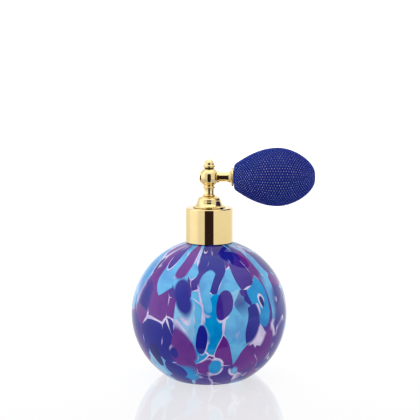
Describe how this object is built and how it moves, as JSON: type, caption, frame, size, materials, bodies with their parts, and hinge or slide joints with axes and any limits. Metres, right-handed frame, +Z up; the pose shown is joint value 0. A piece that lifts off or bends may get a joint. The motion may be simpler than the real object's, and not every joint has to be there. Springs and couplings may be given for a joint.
{
  "type": "perfume atomiser",
  "caption": "Round art-glass scent bottle with a screwed metal collar, a turned spray head and a netted rubber squeeze bulb on a short arm.",
  "frame": {"origin": "centre of the flat base of the glass, on the surface the bottle stands on", "axes": "+Z up along the bottle's axis; +X towards the squeeze bulb; the nozzle sprays towards -X"},
  "size_m": [0.0947, 0.081, 0.1189],
  "materials": {
    "art_glass": "cased art glass with spots in blue, violet and turquoise, glossy",
    "gilt_brass": "gold plated, mirror polished",
    "plain_brass": "turned, unplated",
    "steel": "drawn tube, satin",
    "bulb_rubber": "moulded rubber, satin",
    "net_knit": "knitted net with a silver sparkle",
    "seal_rubber": "black rubber",
    "clear_plastic": "clear tube",
    "white_plastic": "moulded, natural white"
  },
  "bodies": {
    "bottle": {"bottle": "art_glass", "neck_ring": "plain_brass"},
    "seal": {"neck_gasket": "seal_rubber"},
    "collar": {"collar_shell": "gilt_brass", "collar_liner": "white_plastic"},
    "head": {"neck_plug": "white_plastic", "head_foot": "gilt_brass", "head_body": "gilt_brass", "riser_tube": "steel", "liquid_jet": "steel", "spray_nozzle": "gilt_brass", "finial": "gilt_brass", "finial_seal": "seal_rubber", "dip_tube": "clear_plastic", "arm_tube": "gilt_brass", "bulb_ferrule": "gilt_brass", "bulb_spigot": "plain_brass", "outlet_valve_seat": "white_plastic", "outlet_valve_stop": "white_plastic", "net_cover": "net_knit", "net_neck_cord": "net_knit", "net_tail_cord": "net_knit", "tail_valve_body": "plain_brass", "tail_valve_cage": "white_plastic"},
    "upper_half": {"bulb_upper": "bulb_rubber"},
    "lower_half": {"bulb_lower": "bulb_rubber"},
    "outlet_ball": {"outlet_valve_ball": "steel"},
    "inlet_ball": {"tail_valve_ball": "steel"}
  },
  "joints": [
    {"name": "head_rise", "type": "slide", "parent": "bottle", "child": "seal", "axis": [0, 0, 1], "range_m": [0, 0.006]},
    {"name": "collar_turn", "type": "hinge", "parent": "seal", "child": "collar", "pos_m": [0, 0, 0.08], "axis": [0, 0, 1], "range_deg": [0, 720]},
    {"name": "head_swivel", "type": "hinge", "parent": "seal", "child": "head", "pos_m": [0, 0, 0.09], "axis": [0, 0, 1], "continuous": true},
    {"name": "bulb_squeeze_upper", "type": "slide", "parent": "head", "child": "upper_half", "axis": [0, 0, -1], "range_m": [0, 0.007], "stiffness_N_per_m": 1500, "deforming": ["bulb_upper"]},
    {"name": "bulb_squeeze_lower", "type": "slide", "parent": "head", "child": "lower_half", "axis": [0, 0, 1], "range_m": [0, 0.007], "stiffness_N_per_m": 1500, "deforming": ["bulb_lower"]},
    {"name": "outlet_valve_lift", "type": "slide", "parent": "head", "child": "outlet_ball", "axis": [-1, 0, 0], "range_m": [0, 0.001]},
    {"name": "inlet_valve_lift", "type": "slide", "parent": "head", "child": "inlet_ball", "axis": [-1, 0, 0], "range_m": [0, 0.001]}
  ],
  "couplings": [
    {"joint": "collar_turn", "follows": "head_rise", "rad_per_m": 2094.4},
    {"joint": "bulb_squeeze_lower", "follows": "bulb_squeeze_upper", "ratio": 1}
  ]
}
